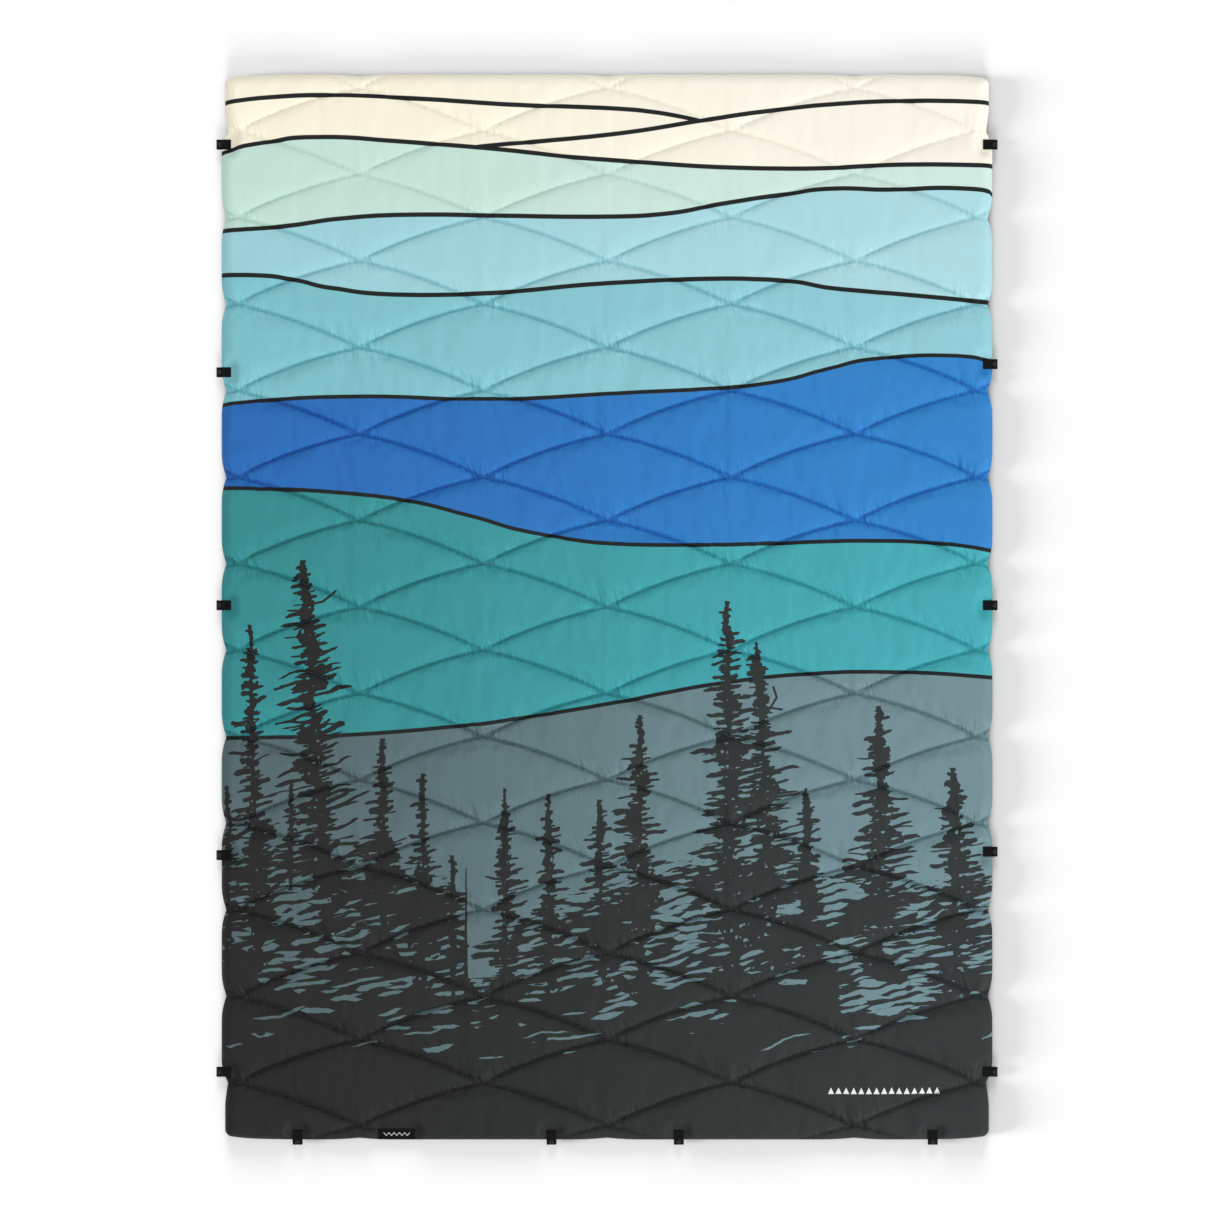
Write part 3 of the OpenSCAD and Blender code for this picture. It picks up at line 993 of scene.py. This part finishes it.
def quilt_lines():
    """Every stitch line as points on the flat cloth, clipped to the hem."""
    columns = math.ceil(HALF_W / PITCH)
    rows = math.ceil(HALF_L / DROP) + 1
    t = np.linspace(0, 1, 25)
    for c in range(-columns, columns + 1):
        for r in range(-rows, rows + 1):
            if (c + r) % 2 == 0:
                for way in (-1, 1):
                    line = np.stack([(c + way * t) * PITCH, (r - drop_at(t)) * DROP], 1)
                    inside = to_hem(line[:, 0], line[:, 1]) > STITCH_MARGIN
                    if inside.sum() > 1:
                        yield line[inside]


def make_quilting_thread():
    """Stitches along every quilting line, left out under the tabs and the label."""
    runs = []
    for line in quilt_lines():
        run = run_of_stitches(line, *QUILT_STITCH)
        free = pressed(run[2][:, 0], run[2][:, 1]) > 0.6
        runs.append([part[free] for part in run])
    a, b, m = (np.concatenate(part) for part in zip(*runs))

    def on_face(p):
        x, y = outline(p[:, 0], p[:, 1])
        rim = rim_round(to_hem(p[:, 0], p[:, 1]))
        return np.stack([x, y + MID_Y, HEM_Z + rim * (seam_level(p[:, 1]) - HEM_Z)], 1)

    return stitch_mesh("quilting_stitches", on_face(a), on_face(b), m, QUILT_THREAD, 0.0002)


def around(x0, y0, x1, y1):
    """The corners of a rectangle and the first one again."""
    return [(x0, y0), (x1, y0), (x1, y1), (x0, y1), (x0, y0)]


def make_seam_thread():
    """The seam that joins the two cloths, just inside the outline."""
    w, l = HALF_W - THREAD_INSET, HALF_L - THREAD_INSET
    corners = around(-w, -l, w, l)
    counts = (200, 280, 200, 280)
    ring = np.concatenate([np.linspace(a, b, n) for a, b, n in zip(corners, corners[1:], counts)])
    x, y = outline(ring[:, 0], ring[:, 1])
    path = np.stack([x, y + MID_Y, np.full(len(x), HEM_Z), ring[:, 0], ring[:, 1]], 1)
    a, b, m = run_of_stitches(path, *SEAM_STITCH)
    return stitch_mesh("seam_stitches", a[:, :3], b[:, :3], m[:, 3:], FINE_THREAD, 0.0)


def make_bar_tacks(name, tabs):
    """Two bars of close zigzag across each tab."""
    starts, ends = [], []
    for node in tabs:
        origin, out, side = tab_frame(node)
        for bar in (BAR_INSET - TAB_IN, -BAR_INSET):
            for k in range(ZIGZAGS):
                across = (k - (ZIGZAGS - 1) / 2) * ZIGZAG
                lean = ZIGZAG if k % 2 else -ZIGZAG
                for list_, d, s in ((starts, bar - lean, across), (ends, bar + lean, across + 0.0006)):
                    p = origin + out * d + side * s
                    list_.append((p.x, p.y, TAB_TOP))
    a, b = np.array(starts), np.array(ends)
    return stitch_mesh(name, a, b, a[:, :2], TACK_THREAD, 0.00012)


def make_label_stitches():
    low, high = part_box("woven_label")
    x0, y0 = low.x + THREAD_INSET, low.y + THREAD_INSET
    x1, y1 = high.x - THREAD_INSET, high.y - THREAD_INSET
    ring = np.array([(x, y, high.z) for x, y in around(x0, y0, x1, y1)])
    a, b, m = run_of_stitches(ring, *LABEL_STITCH)
    return stitch_mesh("label_stitches", a, b, m[:, :2], FINE_THREAD, 0.00010)


def tab_frame(node):
    """Where a tab crosses the hem, the way it points, and the way along the hem."""
    low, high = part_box(node)
    middle = (low + high) / 2
    if "left" in node:
        origin, out = (low.x + TAB_OUT, middle.y, 0), (-1, 0, 0)
    elif "right" in node:
        origin, out = (high.x - TAB_OUT, middle.y, 0), (1, 0, 0)
    else:
        origin, out = (middle.x, low.y + TAB_OUT, 0), (0, -1, 0)
    return Vector(origin), Vector(out), Vector((-out[1], out[0], 0))


def make_tab(node):
    """A strip of webbing folded over the hem, its fold outwards."""
    origin, out, side = tab_frame(node)
    upper, lower = TAB_TOP - WEB / 2, TAB_LOW + WEB / 2
    mid_z, bend = (upper + lower) / 2, (upper - lower) / 2
    turn_at = TAB_OUT - WEB / 2 - bend
    path = [(-TAB_IN + (TAB_IN + turn_at) * k / 8, upper) for k in range(9)]
    for k in range(1, 9):
        a = math.pi / 2 - math.pi * k / 9
        path.append((turn_at + bend * math.cos(a), mid_z + bend * math.sin(a)))
    path += [(turn_at - (TAB_IN + turn_at) * k / 8, lower) for k in range(9)]
    section = []
    for quarter, (sx, sy) in enumerate(((1, 1), (-1, 1), (-1, -1), (1, -1))):
        for k in range(3):
            a = math.pi / 2 * (quarter + k / 2)
            section.append((sx * (TAB_W / 2 - 0.0005) + 0.0005 * math.cos(a),
                            sy * (WEB / 2 - 0.0005) + 0.0005 * math.sin(a)))
    rows, flats, run = [], [], 0.0
    for k, (d, z) in enumerate(path):
        before, after = path[max(k - 1, 0)], path[min(k + 1, len(path) - 1)]
        tangent = Vector((after[0] - before[0], after[1] - before[1])).normalized()
        run += math.hypot(d - before[0], z - before[1])
        narrow = 1 - 0.03 * smooth((d - turn_at) / bend)
        for across, lift in section:
            p = origin + out * (d - tangent.y * lift) + side * (across * narrow)
            rows.append((p.x, p.y, z + tangent.x * lift))
            flats.append((run, across))
    m = len(section)
    faces = []
    for k in range(len(path) - 1):
        for j in range(m):
            a, b = k * m + j, k * m + (j + 1) % m
            faces.append((a, a + m, b))
            faces.append((b, a + m, b + m))
    last = (len(path) - 1) * m
    for j in range(1, m - 1):
        faces.append((0, j, j + 1))
        faces.append((last, last + j + 1, last + j))
    return mesh_object(node.replace("tab", "webbing"), rows, np.array(faces), flats)


def webbing_material():
    g = Graph("black_webbing")
    x, y = g.cloth_mm()
    rib = g.math("FRACT", y * 0.9)
    pick = g.math("FRACT", x * 0.8 + g.math("FLOOR", y * 0.9) * 0.5)
    weave = g.ramp(g.size(rib - 0.5), 0.5, 0.2) * g.ramp(g.size(pick - 0.5), 0.5, 0.15)
    color = g.mix(weave, linear(4, 4, 5), linear(14, 14, 15))
    return g.finish(color, 0.6 + weave * 0.2, g.bump(weave, 0.9, 0.0004), specular=0.15, sheen=0.02)


def resin_material():
    g = Graph("black_resin")
    grain = g.noise(g.place(), 3, 0.6, 900)
    color = g.mix(grain, linear(6, 6, 7), linear(13, 13, 14))
    return g.finish(color, 0.42 + grain * 0.16, g.bump(grain, 0.15, 0.0002), specular=0.3)


def black_thread_material():
    g = Graph("black_thread")
    x, y = g.cloth_mm()
    twist = g.math("FRACT", x * 1.9 + y * 1.3)
    color = g.mix(twist, linear(10, 10, 11), linear(26, 26, 28))
    return g.finish(color, 0.5 + twist * 0.2, g.bump(twist, 0.4, 0.0002), specular=0.2, sheen=0.02)


def label_material():
    """Black woven satin with a whitish zigzag of peaks."""
    g = Graph("label_weave")
    low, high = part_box("woven_label")
    x, y, _ = g.parts("XYZ", g.place())
    u = (x - (low.x + high.x) / 2) * PER_M
    v = (y - (low.y + high.y) / 2) * PER_M
    saw = g.off_middle(u / 9)
    peak = 2.6 - saw * 10.4
    zigzag = g.more(0.75, g.size(v - peak)) * g.more(22.5, g.size(u))
    thread = g.math("SINE", u * 14) * g.math("SINE", v * 14)
    color = g.mix(zigzag * 0.9, linear(3, 3, 4), linear(214, 216, 214))
    return g.finish(color, 0.6 + thread * 0.06, g.bump(thread, 0.4, 0.0002), specular=0.12)


def paint(node, material):
    """Gives a CAD node, used as it is, its material."""
    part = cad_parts[node]
    part.data.materials.clear()
    part.data.materials.append(material)


def trim(piece, material, node, body):
    """A small piece takes the place of one CAD node and rides on its body."""
    piece.data.materials.append(material)
    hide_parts(node)
    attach(piece, body)


batting = make_batting()
batting.data.materials.append(batting_material())
quilting = make_quilting_thread()
quilting.data.materials.append(thread_material("quilting_thread", True))

in_place_of("batting")
in_place_of("quilting_thread")

webbing = webbing_material()
resin = resin_material()
black_thread = black_thread_material()
SIDES = ((LEFT, LEFT_TABS, "left"), (RIGHT, RIGHT_TABS, "right"))
for body, tabs, _ in SIDES:
    for node in tabs:
        trim(make_tab(node), webbing, node, body)
for node in ("snap_caps_left", "snap_caps_right", "snap_sockets", "snap_studs"):
    paint(node, resin)
for body, tabs, end in SIDES:
    trim(make_bar_tacks("bar_tacks_" + end, tabs), black_thread, "tab_tacks_" + end, body)
trim(make_label_stitches(), black_thread, "label_stitching", LEFT)
seam = make_seam_thread()
seam.data.materials.append(thread_material("seam_thread_dye_and_shade", False))
in_place_of("seam_thread")
paint("woven_label", label_material())

# ---- camera, floor and lights ----

FRAME_WIDTH = 2.078         # metres across the picture, at the blanket
CAM_HEIGHT = 6.0
SENSOR = 36
FLOOR_GREY = (0.58, 0.58, 0.58, 1.0)
FLOOR_HALF = 8
WHITE = (1.0, 1.0, 1.0, 1.0)
SKY = 0.64                  # strength of the surrounding light
cam_data = bpy.data.cameras.new("camera")
cam_data.sensor_width = SENSOR
cam_data.lens = SENSOR * CAM_HEIGHT / FRAME_WIDTH
cam_data.clip_end = 50
camera = bpy.data.objects.new("camera", cam_data)
camera.location = (0, MID_Y, CAM_HEIGHT + LOFT / 2)
bpy.context.scene.collection.objects.link(camera)
bpy.context.scene.camera = camera

floor_mesh = bpy.data.meshes.new("floor")
corners = [(a * FLOOR_HALF, b * FLOOR_HALF, 0) for a, b in ((-1, -1), (1, -1), (1, 1), (-1, 1))]
floor_mesh.from_pydata(corners, [], [(0, 1, 2, 3)])
floor = bpy.data.objects.new("floor", floor_mesh)
bpy.context.scene.collection.objects.link(floor)
floor_mesh.materials.append(Graph("pale_floor").finish(FLOOR_GREY, 0.9, specular=0.0))


floor_only = bpy.data.collections.new("floor_only")
floor_only.objects.link(floor)
all_but_floor = bpy.data.collections.new("all_but_floor")
all_but_floor.objects.link(floor)
all_but_floor.collection_objects[0].light_linking.link_state = "EXCLUDE"


def lamp(name, kind, place, power, lights, **shape):
    """A soft light aimed at the middle; lights is the collection that it is linked to."""
    data = bpy.data.lights.new(name, kind)
    data.energy = power
    for key, value in shape.items():
        setattr(data, key, value)
    light = bpy.data.objects.new(name, data)
    light.location = place
    light.rotation_euler = (-Vector(place)).to_track_quat("-Z", "Y").to_euler()
    light.light_linking.receiver_collection = lights
    bpy.context.scene.collection.objects.link(light)


lamp("key", "SUN", (3.2, -2.8, 1.9), 1.6, all_but_floor, angle=math.radians(22))
lamp("overhead", "SUN", (-0.3, 0.2, 5.0), 0.98, all_but_floor, angle=math.radians(60))
lamp("floor_left", "SUN", (-4.0, -0.4, 0.88), 6.4, floor_only, angle=math.radians(18))
lamp("floor_top", "SUN", (0.0, 4.0, 1.2), 3.7, floor_only, angle=math.radians(26))
lamp("floor_bottom", "SUN", (0.0, -4.0, 1.2), 3.7, floor_only, angle=math.radians(26))
world = bpy.data.worlds.new("studio")
world.use_nodes = True
sky = world.node_tree
background = sky.nodes["Background"]
background.inputs[0].default_value = WHITE
seen = sky.nodes.new("ShaderNodeLightPath")
glow = sky.nodes.new("ShaderNodeMapRange")
glow.inputs["To Min"].default_value = SKY
glow.inputs["To Max"].default_value = 1.0
sky.links.new(seen.outputs["Is Camera Ray"], glow.inputs["Value"])
sky.links.new(glow.outputs[0], background.inputs[1])
bpy.context.scene.world = world
bpy.context.scene.view_settings.view_transform = "Standard"

# ---- the pieces that cross the fold: their placement baked into their meshes ----

for piece in (face, back, batting, quilting, seam):
    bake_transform(piece)
